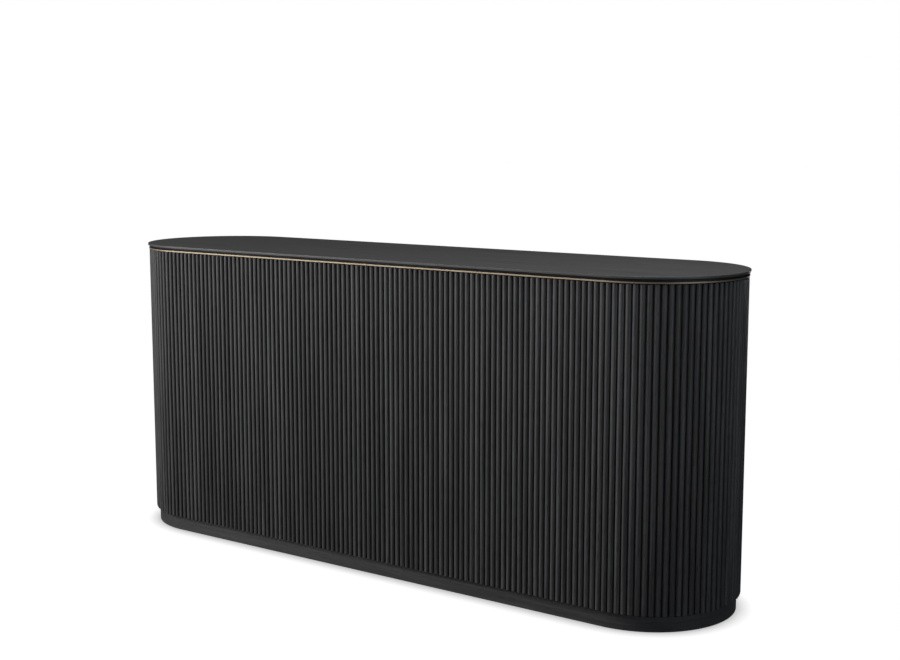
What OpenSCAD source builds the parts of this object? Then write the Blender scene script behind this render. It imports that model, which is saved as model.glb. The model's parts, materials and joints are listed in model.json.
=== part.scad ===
// Sideboard with half-round reeds, round ends, four pivoting doors and a thin overhanging top.
// Millimetres. The floor is z = 0, the doors face -Y, and X runs along the length.

/* [Case] */
// Depth of the top, which is also the diameter of its round ends
case_d = 450; // [440:5:480]
// Height of the top surface above the floor
case_h = 800; // [760:5:850]
// Thickness of the carcass boards
board_t = 18; // [16:1:19]
// Thickness of the bent plywood that the end reeds are glued to
shell_t = 15.5; // [12:0.5:16]
// Thickness of the back panel
back_t = 12; // [9:1:12]
// Front edge of the shelves and carcass top, behind the middle of the case
inner_front = 144; // [130:1:145]

/* [Top] */
// Thickness of the top slab
top_t = 6; // [5:0.5:8]
// Height of the shadow gap under the top slab
gap_h = 6; // [4:0.5:7]
// Height of the brass band
band_h = 3.5; // [3:0.5:6]
// How far the brass band stands in from the edge of the top slab
band_inset = 2.5; // [2:0.5:4]
// Thickness of the brass strip
band_t = 1.5; // [1:0.5:2]
// How far the neck board stands in from the edge of the top slab, above the brass band
neck_inset = 12; // [8:0.5:12]

/* [Reeds] */
// Radius of one half-round reed
reed_r = 6.9; // [6:0.1:7.1]
// Spacing of the reeds on the straight front
reed_pitch = 15; // [15:0.1:15.5]
// Reeds on each door
door_reeds = 21; // [19:1:23]
// Flat reeds between a door and the round end
front_end_reeds = 3; // [3:1:4]
// Flat reeds between the round end and the back panel
back_end_reeds = 1; // [1:1:1]
// Reeds around each round end
arc_reeds = 44; // [42:1:44]
// How far the ends' backing face stands in from the edge of the top slab
face_inset = 10.5; // [9:0.5:11]

/* [Doors] */
// Thickness of a door panel
door_t = 18; // [16:1:18]
// Gap between a door's panel edge and the line that it shares with its neighbour
door_gap = 0.7; // [0.7:0.1:1]
// Distance of the pivot from the door's edge, in reeds
pivot_reeds = 4; // [4:1:4]
// Radius of a pivot pin
pin_r = 2.5; // [2:0.5:3]

/* [Plinth] */
// Height of the plinth's top edge
plinth_h = 38; // [36:1:60]
// How far the plinth stands in from the edge of the top slab
plinth_inset = 13; // [12:0.5:20]
// Gap between the plinth and the doors
plinth_gap = 2; // [2:0.5:3]

/* [Inside] */
// Underside of the shelves
shelf_z = 400; // [340:10:460]
// Radius of a shelf pin
shelf_pin_r = 2.5; // [2.5:0.5:3]
// Vertical step of the shelf pin holes
shelf_step = 32; // [32:1:32]

/* [Feet] */
// Radius of a levelling foot's pad
foot_r = 18; // [14:1:20]
// Thickness of a levelling foot's pad
foot_h = 8; // [6:1:8]
// Radius of a levelling foot's stem
stem_r = 4; // [3:0.5:5]

/* [Hidden] */
$fn = 96;
// Radial clearance of a running or screwed fit
fit = 0.05;
top_r = case_d / 2;
neck_r = top_r - neck_inset;
band_r = top_r - band_inset;
band_in_r = band_r - band_t;
face_r = top_r - face_inset;
shell_in_r = face_r - shell_t;
plinth_r = top_r - plinth_inset;
plinth_in_r = plinth_r - board_t;
door_w = door_reeds * reed_pitch;
doors_half = 2 * door_w;
half_run = doors_half + front_end_reeds * reed_pitch;
edge_gap = 0.5;
front_cut = doors_half + edge_gap;
back_cut = half_run - back_end_reeds * reed_pitch + edge_gap;
top_z = case_h - top_t;
neck_z = top_z - gap_h - band_h;
door_z = plinth_h + plinth_gap;
door_top_z = neck_z - 2;
reed_top_z = door_top_z + 0.5;
gable_x = doors_half + 2;
back_x = back_cut - 2 * edge_gap;
plinth_z = 1;
ceiling_z = neck_z - board_t;
back_y = shell_in_r;
pivot_in = pivot_reeds * reed_pitch;
// How far the pivots stand in front of the middle of the door, so that its edge reeds clear as it turns
pivot_forward = 1.5;
pivot_y = -face_r + door_t / 2 - pivot_forward;
// Pivots: bodies pressed into the door's edges, washers under them, and the plates and bushes of the pins
socket_r = 4.5;
socket_h = 12;
plate_t = 3;
plate_l = 40;
plate_w = 8;
plate_screw_x = 13;
washer_r = 4.5;
washer_play = 0.1;
bush_h = 6;
// Push latches beside the free edges of the doors
latch_in = 22;
latch_z = neck_z - 11;
latch_front = face_r - door_t - 7.5;
latch_w = 14;
latch_l = 44;
flange_w = 36;
flange_y = [12, 28];
flange_t = 2.8;
flange_screw_x = 13;
plunger_r = 4;
plunger_l = 30;
plunger_out = 6.1;
strike_r = 7.5;
strike_t = 1.5;
strike_out = 1;
// Carcass screws, the smaller back screws, and the small screws of plates and latches
screw_r = 2.5;
head_r = 4.5;
head_h = 3;
base_screw_l = 42;
ceiling_screw_l = 50;
neck_screw_l = board_t + 6;
back_screw_r = 1.75;
back_head_r = 3.5;
back_head_h = 2;
back_screw_l = 32;
small_r = 1.5;
small_head_r = 2.8;
plate_head_h = 1.5;
plate_screw_l = 16;
latch_head_h = 1.2;
latch_screw_l = 11;
rail_x = 300;
rail_z = 2;
feet_x = [-600, 0, 600];
feet_y = 150;
insert_r = 7;
insert_top = plinth_h - 2;
stem_top = plinth_h - 3;
edge_screw_y = [-110, 30, 160];
base_screw_y = [-110, 0, 110];
back_screw_z = [100, 300, 500, 700];
neck_screws_x = [-500, -180, 180, 500];
neck_screws_y = [-110, 150];
shelf_pins_y = [-100, 150];
pin_out = 8;
pin_play = 0.2;
pin_rows = [-2, -1, 0, 1, 2];

// Each door: the x of its pivot edge, and +1 where the door runs to the right of that edge
function door_edge(n) = [-doors_half, 0, 0, doors_half][n - 1];
function door_way(n) = [1, -1, 1, -1][n - 1];
function pivot_x(n) = door_edge(n) + door_way(n) * pivot_in;
function latch_x(n) = door_edge(n) + door_way(n) * (door_w - latch_in);

// ---------- shared shapes ----------

module slab(z0, z1) {
    translate([0, 0, z0]) linear_extrude(z1 - z0) children();
}

module stadium(r) {
    square([2 * half_run, 2 * r], center = true);
    for (s = [-1, 1]) translate([s * half_run, 0]) circle(r);
}

module box(low, high) {
    translate(low) cube(high - low);
}

module at_side(side) {
    mirror([side < 0 ? 1 : 0, 0, 0]) children();
}

// Half-round reed standing on z = 0, with its flat back on the plane y = 0 and its crown towards -Y
module reed(length) {
    linear_extrude(length) intersection() {
        circle(reed_r);
        translate([-reed_r, -reed_r]) square([2 * reed_r, reed_r]);
    }
}

// Screw with its head's face at z = 0, driven towards +Z; grow widens it into the hole that it fills
module screw(length, r, cap_r, cap_h, grow = 0) {
    cylinder(h = cap_h, r = cap_r + grow);
    cylinder(h = length, r = r + grow);
}

// ---------- places of the fasteners, shared by the screws and their holes ----------

module at_base_screws() {
    for (x = [-gable_x - board_t / 2, 0, gable_x + board_t / 2]) {
        for (y = base_screw_y) translate([x, y, plinth_h - board_t]) children();
    }
}

module at_ceiling_screws() {
    for (s = [-1, 1]) {
        for (y = edge_screw_y) {
            translate([s * (gable_x + board_t), y, neck_z - board_t / 2]) rotate([0, -90 * s, 0]) children();
        }
    }
    for (y = base_screw_y) translate([0, y, neck_z]) rotate([180, 0, 0]) children();
}

module at_neck_screws() {
    for (x = neck_screws_x) {
        for (y = neck_screws_y) translate([x, y, ceiling_z]) children();
    }
}

module at_back_screws() {
    for (x = [-gable_x - board_t / 2, 0, gable_x + board_t / 2]) {
        for (z = back_screw_z) translate([x, back_y + back_t, z]) rotate([90, 0, 0]) children();
    }
    for (x = neck_screws_x) {
        translate([x, back_y + back_t, neck_z - board_t / 2]) rotate([90, 0, 0]) children();
    }
}

module at_plate_screws() {
    for (n = [1:4]) {
        for (s = [-1, 1]) {
            translate([pivot_x(n) + s * plate_screw_x, pivot_y, plinth_h]) rotate([180, 0, 0]) children();
        }
    }
}

module at_latch_screws() {
    for (n = [1:4]) {
        for (s = [-1, 1]) {
            translate([latch_x(n) + s * flange_screw_x, (flange_y[0] + flange_y[1]) / 2 - latch_front,
                neck_z - flange_t - latch_head_h]) children();
        }
    }
}

module base_screw(grow = 0) { screw(base_screw_l, screw_r, head_r, head_h, grow); }

module ceiling_screw(grow = 0) { screw(ceiling_screw_l, screw_r, head_r, head_h, grow); }

module neck_screw(grow = 0) { screw(neck_screw_l, screw_r, head_r, head_h, grow); }

module back_screw(grow = 0) { screw(back_screw_l, back_screw_r, back_head_r, back_head_h, grow); }

module plate_screw(grow = 0) { screw(plate_screw_l, small_r, small_head_r, plate_head_h, grow); }

module latch_screw(grow = 0) { screw(latch_screw_l, small_r, small_head_r, latch_head_h, grow); }

// ---------- top ----------

module top_panel() {
    color([0.27, 0.27, 0.28]) slab(top_z, case_h) stadium(top_r);
}

module neck_board() {
    color([0.06, 0.06, 0.06]) difference() {
        union() {
            slab(neck_z, neck_z + band_h) stadium(band_in_r - fit);
            slab(neck_z, top_z) stadium(neck_r);
        }
        for (n = [1:4]) translate([pivot_x(n), pivot_y, neck_z - 1])
            cylinder(h = bush_h + 1, r = socket_r + fit);
        at_neck_screws() neck_screw(fit);
        at_latch_screws() latch_screw(fit);
    }
}

module brass_band() {
    color([0.72, 0.60, 0.42]) slab(neck_z, neck_z + band_h) difference() {
        stadium(band_r);
        stadium(band_in_r);
    }
}

// ---------- round ends ----------

module end_region() {
    translate([front_cut, -case_d]) square([case_d, case_d]);
    translate([back_cut, 0]) square([case_d, case_d]);
}

module end_shell() {
    color([0.20, 0.18, 0.16]) slab(plinth_h, neck_z) intersection() {
        difference() {
            stadium(face_r);
            stadium(shell_in_r);
        }
        end_region();
    }
}

module end_reeds() {
    color([0.17, 0.17, 0.18]) translate([0, 0, door_z]) {
        for (i = [0:front_end_reeds - 1]) {
            translate([doors_half + (i + 0.5) * reed_pitch, -face_r]) reed(reed_top_z - door_z);
        }
        for (i = [0:arc_reeds - 1]) {
            translate([half_run, 0]) rotate((i + 0.5) * 180 / arc_reeds) translate([0, -face_r])
                reed(reed_top_z - door_z);
        }
        for (i = [0:back_end_reeds - 1]) {
            translate([half_run - (i + 0.5) * reed_pitch, face_r]) rotate(180) reed(reed_top_z - door_z);
        }
    }
}

module end_formers() {
    color([0.62, 0.50, 0.34]) for (z = [plinth_h, shelf_z, ceiling_z]) {
        slab(z, z + board_t) intersection() {
            stadium(shell_in_r);
            translate([gable_x + board_t, -case_d]) square([case_d, 2 * case_d]);
        }
    }
}

// ---------- carcass ----------

module shelf_pin_holes() {
    for (y = shelf_pins_y) {
        for (row = pin_rows) {
            translate([0, y, shelf_z - shelf_pin_r + row * shelf_step]) rotate([0, 90, 0])
                cylinder(h = 2 * pin_out, r = shelf_pin_r + fit, center = true);
        }
    }
}

module gable() {
    color([0.14, 0.13, 0.12]) difference() {
        box([gable_x, -shell_in_r, plinth_h], [gable_x + board_t, back_y, neck_z]);
        translate([gable_x, 0, 0]) shelf_pin_holes();
        at_base_screws() base_screw(fit);
        at_ceiling_screws() ceiling_screw(fit);
        at_back_screws() back_screw(fit);
    }
}

module centre_partition() {
    color([0.14, 0.13, 0.12]) difference() {
        box([-board_t / 2, -inner_front, plinth_h], [board_t / 2, back_y, ceiling_z]);
        for (s = [-1, 1]) translate([s * board_t / 2, 0, 0]) shelf_pin_holes();
        at_base_screws() base_screw(fit);
        at_ceiling_screws() ceiling_screw(fit);
        at_back_screws() back_screw(fit);
    }
}

module carcass_top() {
    color([0.14, 0.13, 0.12]) difference() {
        box([-gable_x, -inner_front, ceiling_z], [gable_x, back_y, neck_z]);
        at_ceiling_screws() ceiling_screw(fit);
        at_neck_screws() neck_screw(fit);
        at_back_screws() back_screw(fit);
    }
}

module bottom_panel() {
    color([0.14, 0.13, 0.12]) difference() {
        slab(plinth_h - board_t, plinth_h) stadium(plinth_in_r - 0.2);
        at_base_screws() base_screw(fit);
        at_feet() translate([0, 0, plinth_h - board_t - 1]) cylinder(h = board_t - 1, r = insert_r + fit);
    }
}

module back_panel() {
    color([0.12, 0.12, 0.12]) difference() {
        box([-back_x, back_y, plinth_h], [back_x, back_y + back_t, neck_z]);
        at_back_screws() back_screw(fit);
    }
}

module shelf() {
    color([0.14, 0.13, 0.12])
        box([board_t / 2 + 1, -inner_front, shelf_z], [gable_x - 1, back_y - 2, shelf_z + board_t]);
}

module shelf_pins() {
    color("silver") for (s = [-1, 1]) {
        for (face = [gable_x, board_t / 2]) {
            for (y = shelf_pins_y) {
                translate([s * face, y, shelf_z - shelf_pin_r]) rotate([0, 90, 0])
                    cylinder(h = 2 * (pin_out - pin_play), r = shelf_pin_r, center = true);
            }
        }
    }
}

// ---------- plinth and feet ----------

module plinth_ring() {
    color([0.10, 0.10, 0.10]) difference() {
        slab(plinth_z, plinth_h) difference() {
            stadium(plinth_r);
            stadium(plinth_in_r);
        }
        for (n = [1:4]) {
            translate([pivot_x(n), pivot_y, plinth_h - plate_t]) {
                box([-plate_l / 2, -plate_w / 2, 0], [plate_l / 2, plate_w / 2, 2 * plate_t]);
                translate([0, 0, -plate_t]) cylinder(h = 2 * plate_t, r = pin_r + 10 * fit);
            }
        }
        at_plate_screws() plate_screw(fit);
    }
}

module plinth_rails() {
    color([0.62, 0.50, 0.34]) for (s = [-1, 1]) translate([s * rail_x, 0, 0]) {
        box([-board_t / 2, -plinth_in_r, rail_z], [board_t / 2, plinth_in_r, plinth_h - board_t]);
    }
}

module at_feet() {
    for (x = feet_x) {
        for (s = [-1, 1]) translate([x, s * feet_y, 0]) children();
    }
}

module foot_inserts() {
    color("gold") at_feet() translate([0, 0, plinth_h - board_t]) difference() {
        cylinder(h = insert_top - plinth_h + board_t - 1, r = insert_r);
        translate([0, 0, -1]) cylinder(h = board_t, r = stem_r + fit);
    }
}

module foot(n) {
    color([0.08, 0.08, 0.08]) translate([feet_x[floor((n - 1) / 2)], (n % 2 == 1 ? -1 : 1) * feet_y, 0]) {
        cylinder(h = foot_h, r = foot_r);
        cylinder(h = stem_top, r = stem_r);
    }
}

// ---------- doors ----------

module door_panel(n) {
    edge = door_edge(n);
    way = door_way(n);
    color([0.16, 0.16, 0.17]) difference() {
        box([min(edge, edge + way * door_w) + door_gap, -face_r, door_z],
            [max(edge, edge + way * door_w) - door_gap, -face_r + door_t, door_top_z]);
        for (z = [door_z - 1, door_top_z - socket_h]) {
            translate([pivot_x(n), pivot_y, z]) cylinder(h = socket_h + 1, r = socket_r + fit);
        }
        translate([latch_x(n), -face_r + door_t + strike_out - strike_t, latch_z]) rotate([-90, 0, 0])
            cylinder(h = 2 * strike_t, r = strike_r + fit);
    }
}

module door_reed_strips(n) {
    color([0.17, 0.17, 0.18]) for (i = [0:door_reeds - 1]) {
        translate([door_edge(n) + door_way(n) * (i + 0.5) * reed_pitch, -face_r, door_z])
            reed(reed_top_z - door_z);
    }
}

module door_pivots(n) {
    color("silver") translate([pivot_x(n), pivot_y, 0]) {
        translate([0, 0, door_z]) cylinder(h = socket_h, r = socket_r);
        translate([0, 0, plinth_h - plate_t - 1]) cylinder(h = socket_h, r = pin_r);
        translate([0, 0, door_top_z - socket_h]) cylinder(h = socket_h, r = socket_r);
        translate([0, 0, door_top_z - 1]) cylinder(h = bush_h + 2, r = pin_r);
    }
}

module door_strike(n) {
    color("silver") translate([latch_x(n), -face_r + door_t + strike_out - strike_t, latch_z])
        rotate([-90, 0, 0]) cylinder(h = strike_t, r = strike_r);
}

module pivot_plates() {
    color("silver") difference() {
        for (n = [1:4]) translate([pivot_x(n), pivot_y, plinth_h - plate_t]) {
            box([fit - plate_l / 2, fit - plate_w / 2, 0], [plate_l / 2 - fit, plate_w / 2 - fit, plate_t]);
        }
        for (n = [1:4]) translate([pivot_x(n), pivot_y, plinth_h - 2 * plate_t])
            cylinder(h = 3 * plate_t, r = pin_r + fit);
        at_plate_screws() plate_screw(fit);
    }
}

module pivot_washers() {
    color("white") for (n = [1:4]) {
        translate([pivot_x(n), pivot_y, plinth_h]) difference() {
            cylinder(h = plinth_gap - washer_play, r = washer_r);
            translate([0, 0, -1]) cylinder(h = plinth_gap + 2, r = pin_r + fit);
        }
    }
}

module pivot_bushes() {
    color("white") for (n = [1:4]) {
        translate([pivot_x(n), pivot_y, neck_z]) difference() {
            cylinder(h = bush_h, r = socket_r);
            translate([0, 0, -1]) cylinder(h = bush_h + 2, r = pin_r + fit);
        }
    }
}

// ---------- push latches ----------

module latch_housings() {
    color([0.10, 0.10, 0.10]) difference() {
        for (n = [1:4]) translate([latch_x(n), -latch_front, 0]) {
            box([-latch_w / 2, 0, latch_z - latch_w / 2], [latch_w / 2, latch_l, neck_z]);
            box([-flange_w / 2, flange_y[0], neck_z - flange_t], [flange_w / 2, flange_y[1], neck_z]);
        }
        for (n = [1:4]) translate([latch_x(n), -latch_front - 1, latch_z]) rotate([-90, 0, 0])
            cylinder(h = plunger_l + 10, r = plunger_r + fit);
        at_latch_screws() latch_screw(fit);
    }
}

module plunger(n) {
    color([0.85, 0.85, 0.83]) translate([latch_x(n), -latch_front - plunger_out, latch_z]) rotate([-90, 0, 0])
        cylinder(h = plunger_l, r = plunger_r);
}

// ---------- fasteners ----------

module carcass_screws() {
    color("silver") {
        at_base_screws() base_screw();
        at_ceiling_screws() ceiling_screw();
    }
}

module neck_screws() { color("silver") at_neck_screws() neck_screw(); }

module back_screws() { color([0.08, 0.08, 0.08]) at_back_screws() back_screw(); }

module pivot_plate_screws() { color("silver") at_plate_screws() plate_screw(); }

module latch_screws() { color("silver") at_latch_screws() latch_screw(); }

top_panel();
neck_board();
brass_band();
at_side(-1) end_shell();  // left_end_shell
at_side(1) end_shell();  // right_end_shell
at_side(-1) end_reeds();  // left_end_reeds
at_side(1) end_reeds();  // right_end_reeds
at_side(-1) end_formers();  // left_end_formers
at_side(1) end_formers();  // right_end_formers
at_side(-1) gable();  // left_gable
at_side(1) gable();  // right_gable
centre_partition();
carcass_top();
bottom_panel();
back_panel();
plinth_ring();
plinth_rails();
at_side(-1) shelf();  // left_shelf
at_side(1) shelf();  // right_shelf
shelf_pins();
carcass_screws();
neck_screws();
back_screws();
pivot_plates();
pivot_plate_screws();
pivot_washers();
pivot_bushes();
foot_inserts();
latch_housings();
latch_screws();
for (n = [1:4]) {
    door_panel(n);
    door_reed_strips(n);
    door_pivots(n);
    door_strike(n);
    plunger(n);
}
for (n = [1:6]) {
    foot(n);
}
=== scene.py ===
import json
import math
import random

import bmesh
import bpy
from mathutils import Matrix, Vector


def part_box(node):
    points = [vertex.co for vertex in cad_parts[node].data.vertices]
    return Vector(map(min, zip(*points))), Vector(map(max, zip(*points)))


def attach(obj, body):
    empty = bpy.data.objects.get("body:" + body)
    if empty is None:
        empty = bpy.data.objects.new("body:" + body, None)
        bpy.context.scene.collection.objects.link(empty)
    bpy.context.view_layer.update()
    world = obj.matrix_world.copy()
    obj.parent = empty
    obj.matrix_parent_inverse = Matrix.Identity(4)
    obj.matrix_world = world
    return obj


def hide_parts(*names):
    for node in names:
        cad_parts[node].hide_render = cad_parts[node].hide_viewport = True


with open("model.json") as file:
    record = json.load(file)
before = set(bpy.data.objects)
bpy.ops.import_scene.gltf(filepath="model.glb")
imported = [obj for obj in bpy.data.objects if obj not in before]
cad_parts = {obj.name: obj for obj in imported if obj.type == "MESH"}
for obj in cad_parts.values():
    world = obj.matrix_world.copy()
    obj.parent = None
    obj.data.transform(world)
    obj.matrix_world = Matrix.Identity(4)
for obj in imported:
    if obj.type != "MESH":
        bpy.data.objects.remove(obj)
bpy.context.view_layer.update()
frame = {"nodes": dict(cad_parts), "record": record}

MM = 0.001

# ---------- sizes read from the frame ----------

top_low, top_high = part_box("top_panel")
band_low, band_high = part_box("brass_band")
plinth_low, plinth_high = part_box("plinth_ring")
reeds_low, reeds_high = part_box("door_1_reeds")
TOP_R = (top_high.y - top_low.y) / 2           # radius of the top's round ends
RUN = round(top_high.x - TOP_R, 4)             # half of the straight length between the round ends
FACE_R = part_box("right_end_shell")[1].y        # face of the boards that the reeds are glued to
REED_R = -reeds_low.y - FACE_R
REED_BOTTOM, REED_TOP = reeds_low.z, reeds_high.z
REED_PITCH = 15 * MM
DOOR_REEDS = round((reeds_high.x - reeds_low.x) / REED_PITCH)
DOORS_HALF = 2 * DOOR_REEDS * REED_PITCH
FRONT_END_REEDS = round((RUN - DOORS_HALF) / REED_PITCH)
ARC_REEDS = 44                                 # reeds round each end
BACK_END_REEDS = 1                             # flat reeds between a round end and the back board
REED_STEPS = 14                                # faces round each reed
REED_EASE = 0.8 * MM                           # bevel round each reed's two ends
ARC_STEPS = 96                                 # steps round each round end, so that its outline looks smooth
TOP_EASE = 1.2 * MM                            # round along the top slab's edges
BOARD_T = 18 * MM
STRIP_T = 1.5 * MM                             # the brass strip's own thickness
STRIP_EASE = 0.4 * MM
LAP = 0.3 * MM                                 # keeps the skirt's top just under the pivot plates
BOARD_EASE = 0.8 * MM                          # what a sanding block takes off a board's edges
LATCH_EASE = 0.4 * MM                          # moulded edges of the latch housings
FOOT_EASE = 1.2 * MM                           # moulded rims of the levelling feet
LONG_EDGE = 10 * MM                            # only a board's own edges are longer than this
MERGE = 0.01 * MM                              # points nearer than this are one point
SHARP = math.radians(60)                       # edges that turn by more than this are rubbed down

# ---------- small helpers ----------


def linear(value):
    """An sRGB hex colour as linear red, green, blue and alpha."""
    parts = [int(value[i:i + 2], 16) / 255 for i in (1, 3, 5)]
    return [p / 12.92 if p <= 0.04045 else ((p + 0.055) / 1.055) ** 2.4 for p in parts] + [1.0]


def node(tree, kind, settings=None, stops=(), **inputs):
    """Adds a node. settings are its own properties and stops are a ramp's (place, hex colour) pairs.

    Each input is a value, or an output of another node to link. Its name has _ for a space, or is i and a
    number."""
    made = tree.nodes.new(kind)
    for key, value in (settings or {}).items():
        setattr(made, key, value)
    for element, (place, colour) in zip(made.color_ramp.elements if stops else (), stops):
        element.position = place
        element.color = linear(colour)
    for key, value in inputs.items():
        socket = made.inputs[int(key[1:])] if key[1:].isdigit() else made.inputs[key.replace("_", " ")]
        if isinstance(value, bpy.types.NodeSocket):
            tree.links.new(value, socket)
        else:
            socket.default_value = value
    return made


def finish_material(name, roughness, metallic=0.0, specular=0.5):
    """A material with only its shader and output: returns the material, its tree and its shader."""
    made = bpy.data.materials.new(name)
    made.use_nodes = True
    tree = made.node_tree
    tree.nodes.clear()
    shader = node(tree, "ShaderNodeBsdfPrincipled", Roughness=roughness, Metallic=metallic)
    shader.inputs["Specular IOR Level"].default_value = specular
    node(tree, "ShaderNodeOutputMaterial", Surface=shader.outputs["BSDF"])
    return made, tree, shader


def streaks(tree, size_mm, detail=3.0):
    """Noise whose marks are about size_mm long along X, Y and Z."""
    place = node(tree, "ShaderNodeTexCoord").outputs["Object"]
    scaled = node(tree, "ShaderNodeMapping", Vector=place, Scale=[1 / (size * MM) for size in size_mm])
    return node(tree, "ShaderNodeTexNoise", Vector=scaled.outputs["Vector"], Scale=1.0, Detail=detail,
                Roughness=0.6).outputs["Fac"]


# ---------- materials ----------


def stained_oak(name, dark, light, roughness, figure_mm, pore_mm, pore_shade="#9a9a9a", depth_mm=0.12,
                **attributes):
    """Open-pore oak, planed, stained dark and sprayed with matt lacquer: soft streaks and short open pores.

    figure_mm and pore_mm are the sizes of the streaks and of the pores along X, Y and Z. Real pores are
    0.3 mm wide, and these are drawn wider, so that they still show from across a room. Each attribute of
    the mesh named at the end shades the stain by its own ramp."""
    made, tree, shader = finish_material(name, roughness, specular=0.4)
    figure = streaks(tree, figure_mm, detail=4.0)
    specks = streaks(tree, pore_mm)
    pores = node(tree, "ShaderNodeMapRange", {"interpolation_type": "SMOOTHSTEP"}, Value=specks, i1=0.36,
                 i2=0.48).outputs["Result"]
    stain = node(tree, "ShaderNodeValToRGB", stops=[(0.3, dark), (0.7, light)], Fac=figure).outputs["Color"]
    shade = node(tree, "ShaderNodeValToRGB", stops=[(0.0, pore_shade), (1.0, "#ffffff")],
                 Fac=pores).outputs["Color"]
    colour = node(tree, "ShaderNodeMix", {"data_type": "RGBA", "blend_type": "MULTIPLY"}, i0=1.0, i6=stain,
                  i7=shade).outputs[2]
    # on the reeds one attribute is a random tone of stain and the other is painted shade in the grooves
    for attribute, marks in attributes.items():
        worth = node(tree, "ShaderNodeAttribute", {"attribute_name": attribute}).outputs["Fac"]
        shade = node(tree, "ShaderNodeValToRGB", stops=marks, Fac=worth).outputs["Color"]
        colour = node(tree, "ShaderNodeMix", {"data_type": "RGBA", "blend_type": "MULTIPLY"}, i0=1.0,
                      i6=colour, i7=shade).outputs[2]
    tree.links.new(colour, shader.inputs["Base Color"])
    uneven = node(tree, "ShaderNodeMapRange", Value=figure, i1=0.3, i2=0.7, i3=roughness - 0.05,
                  i4=roughness + 0.07)
    tree.links.new(uneven.outputs["Result"], shader.inputs["Roughness"])
    bump = node(tree, "ShaderNodeBump", Height=pores, Strength=0.5, Distance=depth_mm * MM)
    tree.links.new(bump.outputs["Normal"], shader.inputs["Normal"])
    return made


def birch_plywood(name, dark, light):
    """Bent birch plywood: pale veneers, or the same ones stained, with a slight sheen and fine grain."""
    made, tree, shader = finish_material(name, 0.6)
    grain = streaks(tree, (5, 5, 160), detail=4.0)
    colour = node(tree, "ShaderNodeValToRGB", stops=[(0.3, dark), (0.7, light)], Fac=grain)
    tree.links.new(colour.outputs["Color"], shader.inputs["Base Color"])
    return made


def brushed_brass(name):
    """Brass strip brushed along its length and lacquered: soft long lines and a pale, warm, dull shine."""
    made, tree, shader = finish_material(name, 0.3, metallic=1.0)
    lines = streaks(tree, (60, 60, 0.35))
    colour = node(tree, "ShaderNodeValToRGB", stops=[(0.3, "#7c6f60"), (0.7, "#9c8e7a")], Fac=lines)
    tree.links.new(colour.outputs["Color"], shader.inputs["Base Color"])
    rough = node(tree, "ShaderNodeMapRange", Value=lines, i1=0.3, i2=0.7, i3=0.48, i4=0.6)
    tree.links.new(rough.outputs["Result"], shader.inputs["Roughness"])
    return made


def plated_metal(name, dark, light, roughness):
    """Turned or pressed metal with a thin plating: faint clouding and no grain."""
    made, tree, shader = finish_material(name, roughness, metallic=1.0)
    clouds = streaks(tree, (9, 9, 9))
    colour = node(tree, "ShaderNodeValToRGB", stops=[(0.35, dark), (0.65, light)], Fac=clouds)
    tree.links.new(colour.outputs["Color"], shader.inputs["Base Color"])
    return made


def moulded_plastic(name, dark, light, roughness):
    """Injection-moulded plastic with a fine spark-eroded texture."""
    made, tree, shader = finish_material(name, roughness)
    texture = streaks(tree, (0.6, 0.6, 0.6))
    colour = node(tree, "ShaderNodeValToRGB", stops=[(0.3, dark), (0.7, light)], Fac=texture)
    tree.links.new(colour.outputs["Color"], shader.inputs["Base Color"])
    bump = node(tree, "ShaderNodeBump", Height=texture, Strength=0.3, Distance=0.05 * MM)
    tree.links.new(bump.outputs["Normal"], shader.inputs["Normal"])
    return made


UPRIGHT = {"figure_mm": (7, 7, 260), "pore_mm": (0.9, 0.9, 22)}          # grain up and down, as on a reed
LENGTHWAYS = {"figure_mm": (420, 14, 14), "pore_mm": (30, 1.4, 1.4)}     # grain along the sideboard
ROUND = {"figure_mm": (260, 260, 5), "pore_mm": (26, 26, 0.9)}           # grain that follows the plinth round
VENEER = {"figure_mm": (22, 22, 500), "pore_mm": (1.2, 1.2, 26)}         # wide upright leaves of veneer

FINISHES = {
    "charcoal_oak_reeds": stained_oak("charcoal_oak_reeds", "#282829", "#444445", 0.5, **UPRIGHT,
                                      reed_tone=[(0.0, "#d0d0d0"), (1.0, "#ffffff")],
                                      # painted shade: the reeds darken to near black towards the grooves
                                      # between them
                                      groove=[(0.4, "#ffffff"), (0.95, "#161616")]),
    "charcoal_oak_top": stained_oak("charcoal_oak_top", "#2b2b2c", "#343435", 0.5, **LENGTHWAYS,
                                    pore_shade="#d8d8d8", depth_mm=0.04),
    "charcoal_oak_plinth": stained_oak("charcoal_oak_plinth", "#2a2a2c", "#39393a", 0.45, **ROUND,
                                       pore_shade="#b8b8b8"),
    "black_lacquered_wood": stained_oak("black_lacquered_oak", "#0b0b0b", "#121212", 0.6, **ROUND),
    "charcoal_back_veneer": stained_oak("charcoal_back_veneer", "#28282a", "#38383a", 0.55, **VENEER),
    "charcoal_veneered_board": stained_oak("charcoal_door_veneer", "#131314", "#1e1e1f", 0.55, **VENEER),
    "dark_oak_interior": stained_oak("dark_oak_interior", "#5a4c40", "#7b6a59", 0.5, **VENEER),
    "plywood": birch_plywood("birch_plywood", "#b08f63", "#cbb088"),
    "stained_plywood": birch_plywood("stained_plywood", "#0c0c0d", "#141415"),
    "brushed_brass": brushed_brass("brushed_brass"),
    "brass_insert": plated_metal("turned_brass", "#b08d57", "#c9a86f", 0.35),
    "zinc_plated_steel": plated_metal("zinc_plated_steel", "#a5a8ab", "#c2c4c6", 0.35),
    "black_steel": plated_metal("black_oxide_steel", "#202022", "#303032", 0.45),
    "black_plastic": moulded_plastic("black_polypropylene", "#151516", "#1e1e1f", 0.5),
    "white_nylon": moulded_plastic("white_nylon", "#d4d3cc", "#e2e1db", 0.4),
}
for part in frame["record"]["subparts"]:
    shown = frame["nodes"][part["node"]]
    shown.data.materials.clear()
    shown.data.materials.append(FINISHES[part["material_slot"]])

# ---------- mesh helpers ----------


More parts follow.
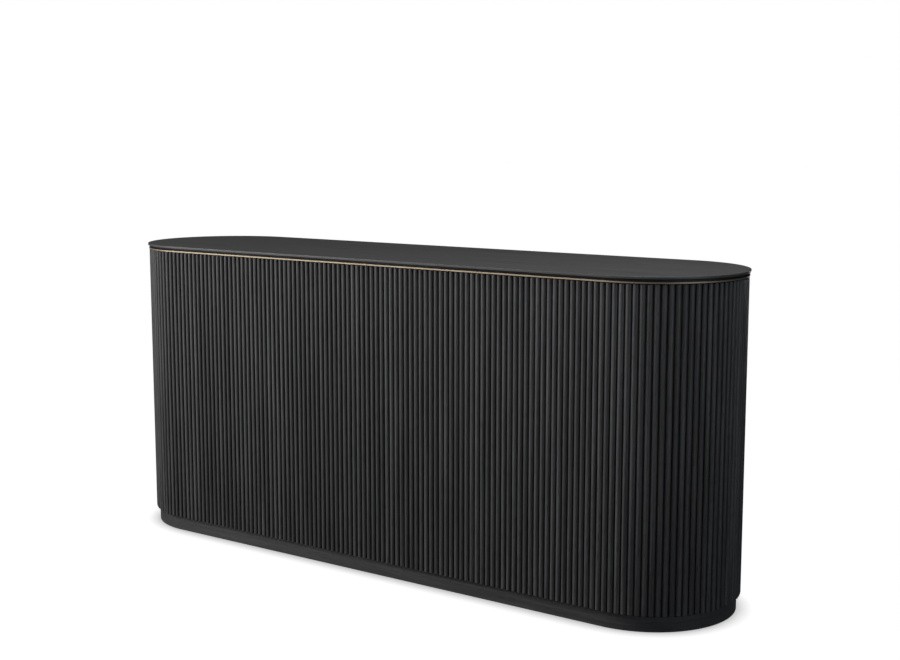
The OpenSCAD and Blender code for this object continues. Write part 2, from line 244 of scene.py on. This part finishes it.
def piece(name, bm, body, slot, *replaced, smooth_angle=35):
    """Makes a finished object of a bmesh, at the origin, riding on a body and standing for CAD nodes.

    Edges that turn by more than smooth_angle degrees stay crisp, so that a flat face beside a small round
    looks flat."""
    mesh = bpy.data.meshes.new(name)
    bm.to_mesh(mesh)
    bm.free()
    mesh.polygons.foreach_set("use_smooth", [True] * len(mesh.polygons))
    mesh.set_sharp_from_angle(angle=math.radians(smooth_angle))
    made = bpy.data.objects.new(name, mesh)
    bpy.context.scene.collection.objects.link(made)
    mesh.materials.append(FINISHES[slot])
    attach(made, body)
    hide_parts(*replaced)
    return made


def only(geometry, kind):
    """The points, edges or faces of what an operator returns."""
    return [g for g in geometry if isinstance(g, kind)]


def rounded(bm, edges, offset, segments):
    """Rounds the edges of a shape by offset."""
    bmesh.ops.bevel(bm, geom=edges, offset=offset, offset_type="OFFSET", affect="EDGES", segments=segments,
                    profile=0.5, material=-1)


def round_the_case(bm, edges):
    """Sweeps profile edges at the left end of the front once round the stadium, and closes the sweep."""
    for side in (1, -1):
        out = bmesh.ops.extrude_edge_only(bm, edges=edges)["geom"]
        ends = only(out, bmesh.types.BMVert)
        bmesh.ops.translate(bm, verts=ends, vec=(side * 2 * RUN, 0, 0))
        edges = [e for e in only(out, bmesh.types.BMEdge) if e.verts[0] in ends and e.verts[1] in ends]
        turned = bmesh.ops.spin(bm, geom=ends + edges, cent=(side * RUN, 0, 0), axis=(0, 0, 1), angle=math.pi,
                                steps=ARC_STEPS, use_merge=False, use_duplicate=False)["geom_last"]
        edges = only(turned, bmesh.types.BMEdge)
    bmesh.ops.remove_doubles(bm, verts=bm.verts, dist=MERGE)
    bmesh.ops.recalc_face_normals(bm, faces=bm.faces)


def profile(bm, points):
    """A closed profile in the plane x = -RUN, from (radius, height) points."""
    corners = [bm.verts.new((-RUN, -radius, height)) for radius, height in points]
    return [bm.edges.new((corners[i - 1], corners[i])) for i in range(len(corners))]


def eased_band(name, inner, outer, low, high, ease, body, slot, *replaced):
    """A closed band round the case whose two outer edges are eased by a quarter round."""
    bm = bmesh.new()
    steps = 3
    arc = [(math.sin(a), math.cos(a)) for a in [math.pi / 2 * i / steps for i in range(steps + 1)]]
    top = [(outer - ease + ease * s, high - ease + ease * c) for s, c in arc]
    bottom = [(outer - ease + ease * c, low + ease - ease * s) for s, c in arc]
    round_the_case(bm, profile(bm, [(inner, low), (inner, high)] + top + bottom))
    return piece(name, bm, body, slot, *replaced, smooth_angle=12)


def top_slab():
    """The thin top: a stadium with a small round along both its edges."""
    bm = bmesh.new()
    start = bmesh.ops.create_vert(bm, co=(RUN, -TOP_R, top_low.z))["vert"]
    bmesh.ops.spin(bm, geom=start, cent=(RUN, 0, 0), axis=(0, 0, 1), angle=math.pi, steps=ARC_STEPS,
                   use_merge=False, use_duplicate=False)
    bmesh.ops.mirror(bm, geom=bm.verts[:] + bm.edges[:], axis="X", merge_dist=0)
    bmesh.ops.bridge_loops(bm, edges=bm.edges[:])
    raised = bmesh.ops.extrude_face_region(bm, geom=bm.faces[:])["geom"]
    bmesh.ops.translate(bm, verts=only(raised, bmesh.types.BMVert), vec=(0, 0, top_high.z - top_low.z))
    bmesh.ops.recalc_face_normals(bm, faces=bm.faces)
    rims = [e for e in bm.edges if len(e.link_faces) == 2 and e.calc_face_angle(0) > SHARP]
    rounded(bm, rims, TOP_EASE, segments=4)
    return piece("top_slab", bm, "case", "charcoal_oak_top", "top_panel", smooth_angle=10)


def reed_shape():
    """One half-round reed with eased ends, standing at the origin with its crown towards -Y."""
    bm = bmesh.new()
    start = bmesh.ops.create_vert(bm, co=(-REED_R, 0, REED_BOTTOM))["vert"]
    bmesh.ops.spin(bm, geom=start, cent=(0, 0, 0), axis=(0, 0, 1), angle=math.pi, steps=REED_STEPS,
                   use_merge=False, use_duplicate=False)
    bmesh.ops.contextual_create(bm, geom=bm.edges[:])
    raised = bmesh.ops.extrude_face_region(bm, geom=bm.faces[:])["geom"]
    bmesh.ops.translate(bm, verts=only(raised, bmesh.types.BMVert), vec=(0, 0, REED_TOP - REED_BOTTOM))
    bmesh.ops.recalc_face_normals(bm, faces=bm.faces)
    rims = [e for e in bm.edges if abs(e.verts[0].co.z - e.verts[1].co.z) < MM and e.calc_length() < REED_R]
    rounded(bm, rims, REED_EASE, segments=1)
    mesh = bpy.data.meshes.new("reed_shape")
    bm.to_mesh(mesh)
    bm.free()
    return mesh


REED = reed_shape()
chance = random.Random(7)                      # the same tones each time


def reeded(name, body, places, *replaced):
    """Reeds set at the given matrices, each with its own tone of stain and with painted shade in the grooves.
    """
    bm = bmesh.new()
    tone = bm.verts.layers.float.new("reed_tone")
    groove = bm.verts.layers.float.new("groove")
    for place in places:
        first = len(bm.verts)
        bm.from_mesh(REED)
        bm.verts.ensure_lookup_table()
        strip = bm.verts[first:]
        shade = chance.random()
        for vert in strip:
            vert[tone] = shade
            # painted shade: 0 at a reed's crown and 1 where it meets the grooves beside it
            vert[groove] = 1 + vert.co.y / REED_R
        bmesh.ops.transform(bm, matrix=place, verts=strip)
    return piece(name, bm, body, "charcoal_oak_reeds", *replaced)


def flat_places(first_x, count, back=False):
    """Places of count reeds that stand side by side from first_x towards +X, on the front or the back."""
    turn = Matrix.Rotation(math.pi, 4, "Z") if back else Matrix.Identity(4)
    y = FACE_R if back else -FACE_R
    return [Matrix.Translation((first_x + (i + 0.5) * REED_PITCH, y, 0)) @ turn for i in range(count)]


def end_places(side):
    """Places of the reeds round one end: flat ones at the front, curved ones, and flat ones at the back."""
    front = flat_places(DOORS_HALF if side > 0 else -RUN, FRONT_END_REEDS)
    back = flat_places(RUN - BACK_END_REEDS * REED_PITCH if side > 0 else -RUN, BACK_END_REEDS, back=True)
    step = math.pi / ARC_REEDS
    curved = [Matrix.Translation((side * RUN, 0, 0)) @ Matrix.Rotation(side * (i + 0.5) * step, 4, "Z")
              @ Matrix.Translation((0, -FACE_R, 0)) for i in range(ARC_REEDS)]
    return front + curved + back


def solids(node_name):
    """The points of each separate solid of a CAD node, in merged copies of its mesh."""
    bm = bmesh.new()
    bm.from_mesh(frame["nodes"][node_name].data)
    bmesh.ops.remove_doubles(bm, verts=bm.verts, dist=MERGE)
    left, found = set(bm.verts), []
    while left:
        reached, waiting = set(), [next(iter(left))]
        while waiting:
            vert = waiting.pop()
            if vert not in reached:
                reached.add(vert)
                waiting += [e.other_vert(vert) for e in vert.link_edges]
        left -= reached
        found.append([vert.co.copy() for vert in reached])
    bm.free()
    return found


def cross_recessed(bm, head_r, head_h, shank_r, length):
    """One screw in bm, its head's face at the origin and facing +Z, with a cross recess pressed into it."""
    cells, rim_share, recess_share, recess_taper = 5, 0.85, 0.6, 0.8
    first = len(bm.verts)
    bmesh.ops.create_grid(bm, x_segments=cells, y_segments=cells, size=1)
    bm.verts.ensure_lookup_table()
    head = bm.verts[first:]
    faces = {f for v in head for f in v.link_faces}
    arm = 1.5 / cells                        # an arm is one cell wide, and this reaches just past its middle
    cross = [f for f in faces if min(abs(f.calc_center_median().x), abs(f.calc_center_median().y)) < arm
             and max(abs(f.calc_center_median().x), abs(f.calc_center_median().y)) < 2 * arm]
    for vert in head:
        x, y = vert.co.x, vert.co.y
        vert.co = (head_r * x * math.sqrt(1 - y * y / 2), head_r * y * math.sqrt(1 - x * x / 2), 0)
    rim = [e for f in faces for e in f.edges if e.is_boundary]
    for drop, wide in ((rim_share * head_h, head_r), (head_h, shank_r), (length, shank_r)):
        out = bmesh.ops.extrude_edge_only(bm, edges=rim)["geom"]
        for vert in only(out, bmesh.types.BMVert):
            flat = Vector((vert.co.x, vert.co.y, 0)).normalized() * wide
            vert.co = (flat.x, flat.y, -drop)
        rim = [e for e in only(out, bmesh.types.BMEdge) if e.is_boundary]
    bmesh.ops.contextual_create(bm, geom=rim)
    pressed = only(bmesh.ops.extrude_face_region(bm, geom=cross)["geom"], bmesh.types.BMVert)
    bmesh.ops.scale(bm, verts=pressed, vec=(recess_taper, recess_taper, 1))
    bmesh.ops.translate(bm, verts=pressed, vec=(0, 0, -recess_share * head_h))
    bm.verts.ensure_lookup_table()
    return bm.verts[first:]


def measured(points):
    """A plain CAD screw's place and sizes: the middle of its head's face, the way that faces, and what
    cross_recessed takes."""
    low = Vector([min(p[i] for p in points) for i in range(3)])
    high = Vector([max(p[i] for p in points) for i in range(3)])
    size = high - low
    along = max(range(3), key=lambda i: size[i])
    middle = (low + high) / 2
    radii = {}
    for point in points:
        away = point - middle
        side = away[along] > 0
        at_an_end = abs(abs(away[along]) - size[along] / 2) < MERGE
        away[along] = 0
        if at_an_end:
            radii[side] = max(radii.get(side, 0), away.length)
    head_is_high = radii[True] > radii[False]
    face, facing = middle.copy(), Vector((0, 0, 0))
    face[along] = (high if head_is_high else low)[along]
    facing[along] = 1 if head_is_high else -1
    depths = [abs(p[along] - face[along]) for p in points]
    head_h = min(d for d in depths if d > 10 * MERGE)
    return face, facing, (max(radii.values()), head_h, min(radii.values()), size[along])


def screws(name, slot, node_name):
    """Every screw of a CAD node, at the same place and size, with a real head."""
    bm = bmesh.new()
    for points in solids(node_name):
        face, facing, sizes = measured(points)
        made = cross_recessed(bm, *sizes)
        turn = facing.to_track_quat("Z", "Y").to_matrix().to_4x4()
        bmesh.ops.transform(bm, matrix=Matrix.Translation(face) @ turn, verts=made)
    bmesh.ops.recalc_face_normals(bm, faces=bm.faces)
    return piece(name, bm, "case", slot, node_name, smooth_angle=25)


def eased(name, node_name, body, slot, ease=BOARD_EASE, turned=False):
    """A CAD node in its own shape, holes and all, with its long sharp edges rubbed down.

    A turned part has its round rims rubbed down instead."""
    bm = bmesh.new()
    bm.from_mesh(frame["nodes"][node_name].data)
    bmesh.ops.remove_doubles(bm, verts=bm.verts, dist=MERGE)
    bmesh.ops.dissolve_limit(bm, angle_limit=math.radians(1), verts=bm.verts, edges=bm.edges)
    bmesh.ops.recalc_face_normals(bm, faces=bm.faces)
    shortest = 0 if turned else LONG_EDGE
    sharp = [e for e in bm.edges if len(e.link_faces) == 2 and e.calc_face_angle(0) > SHARP
             and e.calc_length() > shortest]
    rounded(bm, sharp, ease, segments=2)
    return piece(name, bm, body, slot, node_name, smooth_angle=20)


# ---------- the pieces ----------

top_slab()
eased_band("brass_strip", band_high.y - STRIP_T, band_high.y, band_low.z, band_high.z, STRIP_EASE, "case",
           "brushed_brass", "brass_band")
eased_band("plinth_skirt", plinth_high.y - BOARD_T, plinth_high.y, plinth_low.z, plinth_high.z - LAP,
           BOARD_EASE, "case", "charcoal_oak_plinth", "plinth_ring")
reeded("left_reeding", "case", end_places(-1), "left_end_reeds")
reeded("right_reeding", "case", end_places(1), "right_end_reeds")
for number in range(1, 5):
    door_x = -DOORS_HALF + (number - 1) * DOOR_REEDS * REED_PITCH
    door_places = flat_places(door_x, DOOR_REEDS)
    reeded(f"door_{number}_reeding", f"door_{number}", door_places, f"door_{number}_reeds")

screws("back_screw_set", "black_steel", "back_screws")
screws("carcass_screw_set", "zinc_plated_steel", "carcass_screws")
screws("neck_screw_set", "zinc_plated_steel", "neck_screws")
screws("plate_screw_set", "zinc_plated_steel", "pivot_plate_screws")
screws("latch_screw_set", "zinc_plated_steel", "latch_screws")

for side in ("left", "right"):
    eased(f"{side}_shelf_board", f"{side}_shelf", "case", "dark_oak_interior")
    eased(f"{side}_gable_board", f"{side}_gable", "case", "dark_oak_interior")
eased("partition_board", "centre_partition", "case", "dark_oak_interior")
eased("ceiling_board", "carcass_top", "case", "dark_oak_interior")
eased("back_board", "back_panel", "case", "charcoal_back_veneer")
eased("latch_shells", "latch_housings", "case", "black_plastic", ease=LATCH_EASE)
for number in range(1, 5):
    eased(f"door_{number}_board", f"door_{number}_panel", f"door_{number}", "charcoal_veneered_board")
    eased(f"plunger_{number}_tip", f"plunger_{number}", f"latch_{number}", "white_nylon", turned=True)
for number in range(1, 7):
    eased(f"foot_{number}_pad", f"foot_{number}", f"leveller_{number}", "black_plastic", ease=FOOT_EASE,
          turned=True)

# ---------- studio ----------


def pale_floor():
    """A wide white sweep that lightens nothing else, with a painted contact shadow round what stands on it.
    """
    bm = bmesh.new()
    bmesh.ops.create_grid(bm, x_segments=2, y_segments=2, size=FLOOR_HALF)
    mesh = bpy.data.meshes.new("floor")
    bm.to_mesh(mesh)
    bm.free()
    made, tree, shader = finish_material("matt_white_paint", 0.9, specular=0.0)
    # painted contact shadow: the floor's glow dims where ambient occlusion finds something near
    near = node(tree, "ShaderNodeAmbientOcclusion", {"samples": 16}, Distance=SHADE_REACH).outputs["AO"]
    glow = node(tree, "ShaderNodeValToRGB", stops=[(0.45, "#c4c4c4"), (0.74, "#ffffff")], Fac=near)
    shader.inputs["Base Color"].default_value = linear("#303030")
    tree.links.new(glow.outputs["Color"], shader.inputs["Emission Color"])
    shader.inputs["Emission Strength"].default_value = 1.0
    mesh.materials.append(made)
    floor = bpy.data.objects.new("floor", mesh)
    bpy.context.scene.collection.objects.link(floor)
    floor.visible_diffuse = False
    floor.visible_glossy = False


def area_light(name, place, aim, size, power, colour="#ffffff"):
    """A rectangular softbox at place, turned to face aim."""
    light = bpy.data.lights.new(name, "AREA")
    light.shape = "RECTANGLE"
    light.size, light.size_y = size
    light.energy = power
    light.color = linear(colour)[:3]
    made = bpy.data.objects.new(name, light)
    made.location = place
    made.rotation_euler = (Vector(aim) - Vector(place)).to_track_quat("-Z", "Y").to_euler()
    bpy.context.scene.collection.objects.link(made)


def studio_world():
    """White behind the sideboard, and a dim even room for everything else."""
    world = bpy.data.worlds.new("studio")
    world.use_nodes = True
    tree = world.node_tree
    tree.nodes.clear()
    seen = node(tree, "ShaderNodeLightPath").outputs["Is Camera Ray"]
    room = node(tree, "ShaderNodeBackground", Color=linear("#ffffff"), Strength=ROOM_LIGHT)
    backdrop = node(tree, "ShaderNodeBackground", Color=linear("#ffffff"), Strength=1.0)
    both = node(tree, "ShaderNodeMixShader", i0=seen, i1=room.outputs[0], i2=backdrop.outputs[0])
    node(tree, "ShaderNodeOutputWorld", Surface=both.outputs[0])
    bpy.context.scene.world = world


def camera():
    """Looks at the sideboard from in front of its right-hand end, a little above the top."""
    data = bpy.data.cameras.new("camera")
    data.lens = 55.98
    data.sensor_width = 36
    made = bpy.data.objects.new("camera", data)
    made.location = (2.1639, -2.8853, 1.1023)
    made.rotation_euler = (math.pi / 2 - 0.1387, 0, 0.6202)
    bpy.context.scene.collection.objects.link(made)
    bpy.context.scene.camera = made


FLOOR_HALF = 40
SHADE_REACH = 88 * MM                          # how far from the sideboard the floor's painted contact shadow reaches
ROOM_LIGHT = 0.05
camera()
pale_floor()
studio_world()
area_light("key", (-2.5, -2.1, 2.3), (-0.2, 0, 0.6), (1.4, 1.3), 190)
area_light("low_card", (-2.6, -2.6, 0.55), (-0.2, 0, 0.5), (1.5, 0.9), 30)
area_light("front_fill", (0.8, -3.4, 1.3), (0.3, 0, 0.4), (1.8, 1.2), 10)
area_light("overhead", (0.9, -0.3, 2.2), (0.75, -0.1, 0.8), (0.9, 0.6), 32)
area_light("cool_fill", (3.4, -0.9, 1.3), (0.7, 0, 0.5), (1.0, 1.5), 26, "#dfe8f2")
area_light("back_fill", (-0.8, 3.0, 0.42), (0, 0, 0.4), (3.0, 0.6), 45)
bpy.context.scene.view_settings.view_transform = "Standard"
